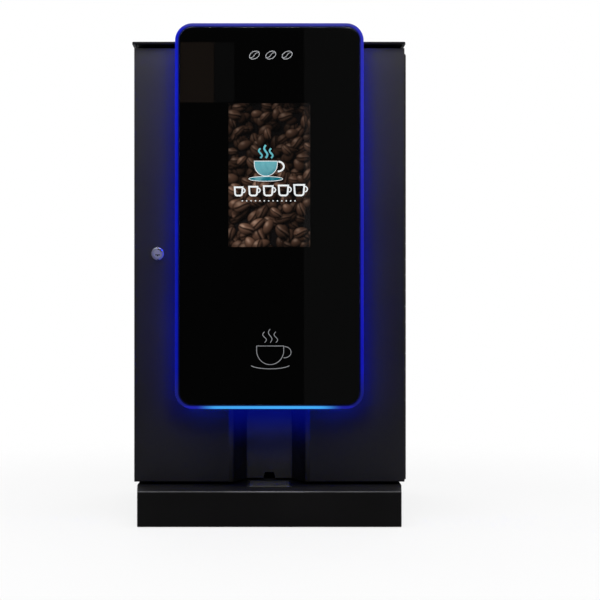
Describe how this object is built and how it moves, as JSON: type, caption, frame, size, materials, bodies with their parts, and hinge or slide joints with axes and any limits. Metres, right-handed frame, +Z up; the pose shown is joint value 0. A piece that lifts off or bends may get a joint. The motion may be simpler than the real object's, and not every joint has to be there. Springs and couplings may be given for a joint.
{
  "type": "hot coffee vending machine",
  "caption": "Counter-top bean-to-cup hot drinks machine with a tall lit glass touch panel on a hinged steel door, a cup niche and a drip tray.",
  "frame": {"origin": "centre of the footprint box on the surface the feet stand on", "axes": "+Z up, -Y towards the user, +X to the user's right"},
  "size_m": [0.5014, 0.556, 0.891],
  "materials": {
    "cabinet_paint": "satin powder coat, dark charcoal",
    "rear_paint": "satin powder coat",
    "door_paint": "fine satin powder coat, dark charcoal",
    "plinth_paint": "satin powder coat, near black",
    "galvanised": "zinc-coated sheet with spangle",
    "hinge_steel": "dark zinc",
    "foot_rubber": "matte",
    "gasket_rubber": "matte foam rubber",
    "niche_plastic": "fine grained moulding",
    "spout_plastic": "satin",
    "lamp_lens": "frosted lens, lit",
    "lock_chrome": "turned and polished",
    "lock_zinc": "zinc",
    "housing_paint": "satin black",
    "rim_acrylic": "edge-lit acrylic",
    "led_blue": "lit strip",
    "mask_black": "printed black",
    "front_glass": "polished",
    "display": "lit touch display",
    "tray_plastic": "fine grain",
    "grille_metal": "powder coat",
    "hopper_plastic": "smoked clear plastic",
    "canister_plastic": "translucent plastic",
    "white_plastic": "food-grade moulding",
    "grinder_plastic": "glass-filled black",
    "motor_steel": "zinc",
    "burr_steel": "ground",
    "brew_plastic": "moulded",
    "stainless": "brushed",
    "silicone": "translucent silicone",
    "valve_plastic": "moulded",
    "psu_alu": "pressed",
    "pcb": "solder mask",
    "brass": "turned"
  },
  "bodies": {
    "cabinet": {"base_pan": "galvanised", "bean_hopper": "hopper_plastic", "boiler": "stainless", "brew_chamber": "brew_plastic", "brew_frame": "galvanised", "bulkhead": "galvanised", "cabinet_frame": "cabinet_paint", "canister_lids": "white_plastic", "control_board": "pcb", "drink_tubes": "silicone", "fan_frame": "grinder_plastic", "gearmotors": "motor_steel", "grinder_housing": "grinder_plastic", "grinder_motor": "motor_steel", "grounds_bin": "brew_plastic", "hinge_cabinet_leaf": "hinge_steel", "hinge_pins": "hinge_steel", "lid_hinge_brackets": "hinge_steel", "mixing_bowl": "white_plastic", "plinth_bottom_plate": "galvanised", "plinth_shell": "plinth_paint", "powder_canisters": "canister_plastic", "power_inlet": "grinder_plastic", "power_supply": "psu_alu", "rear_panel": "rear_paint", "rear_screws": "hinge_steel", "rubber_feet": "foot_rubber", "shelf": "galvanised", "side_panel_left": "cabinet_paint", "side_panel_right": "cabinet_paint", "solenoid_valves": "valve_plastic", "water_inlet_valve": "brass", "water_pump": "motor_steel"},
    "door": {"door_skin": "door_paint", "door_inner_panel": "galvanised", "niche_liner": "niche_plastic", "drink_spout": "spout_plastic", "niche_lamp": "lamp_lens", "door_gasket": "gasket_rubber", "hinge_door_leaf": "hinge_steel", "lock_body": "lock_chrome", "panel_housing": "housing_paint", "light_guide": "rim_acrylic", "led_strip": "led_blue", "glass_mask": "mask_black", "glass_front": "front_glass", "display_module": "display"},
    "lock": {"lock_plug": "lock_chrome", "lock_cam": "lock_zinc"},
    "top_lid": {"lid": "cabinet_paint", "lid_hinge_straps": "hinge_steel"},
    "tray": {"drip_tray": "tray_plastic"},
    "grille": {"drip_grille": "grille_metal"},
    "burr": {"grinding_burr": "burr_steel"},
    "milk_auger": {"auger_1": "white_plastic"},
    "chocolate_auger": {"auger_2": "white_plastic"},
    "impeller": {"mixer_impeller": "white_plastic"},
    "fan": {"fan_rotor": "grinder_plastic"},
    "piston": {"brew_piston": "stainless"},
    "rocker": {"rocker_switch": "grinder_plastic"}
  },
  "joints": [
    {"name": "door_swing", "type": "hinge", "parent": "cabinet", "child": "door", "pos_m": [0.2494, -0.139, 0.46], "axis": [0, 0, 1], "range_deg": [0, 105]},
    {"name": "lock_turn", "type": "hinge", "parent": "door", "child": "lock", "pos_m": [-0.2034, -0.15, 0.4836], "axis": [0, -1, 0], "range_deg": [0, 90]},
    {"name": "lid_swing", "type": "hinge", "parent": "cabinet", "child": "top_lid", "pos_m": [0, 0.268, 0.866], "axis": [-1, 0, 0], "range_deg": [0, 75]},
    {"name": "tray_lift", "type": "slide", "parent": "cabinet", "child": "tray", "axis": [0, 0, 1], "range_m": [0, 0.035]},
    {"name": "grille_lift", "type": "slide", "parent": "tray", "child": "grille", "axis": [0, 0, 1], "range_m": [0, 0.02]},
    {"name": "burr_spin", "type": "hinge", "parent": "cabinet", "child": "burr", "pos_m": [0.14, -0.005, 0.69], "axis": [0, 0, 1], "continuous": true},
    {"name": "milk_auger_spin", "type": "hinge", "parent": "cabinet", "child": "milk_auger", "pos_m": [-0.175, 0, 0.624], "axis": [0, 1, 0], "continuous": true},
    {"name": "chocolate_auger_spin", "type": "hinge", "parent": "cabinet", "child": "chocolate_auger", "pos_m": [-0.07, 0, 0.624], "axis": [0, 1, 0], "continuous": true},
    {"name": "impeller_spin", "type": "hinge", "parent": "cabinet", "child": "impeller", "pos_m": [-0.1225, -0.1, 0.49], "axis": [0, 1, 0], "continuous": true},
    {"name": "fan_spin", "type": "hinge", "parent": "cabinet", "child": "fan", "pos_m": [0, 0.247, 0.745], "axis": [0, 1, 0], "continuous": true},
    {"name": "piston_lift", "type": "slide", "parent": "cabinet", "child": "piston", "axis": [0, 0, 1], "range_m": [0, 0.07]},
    {"name": "rocker_tilt", "type": "hinge", "parent": "cabinet", "child": "rocker", "pos_m": [0.17, 0.256, 0.1465], "axis": [1, 0, 0], "range_deg": [0, 14]}
  ]
}
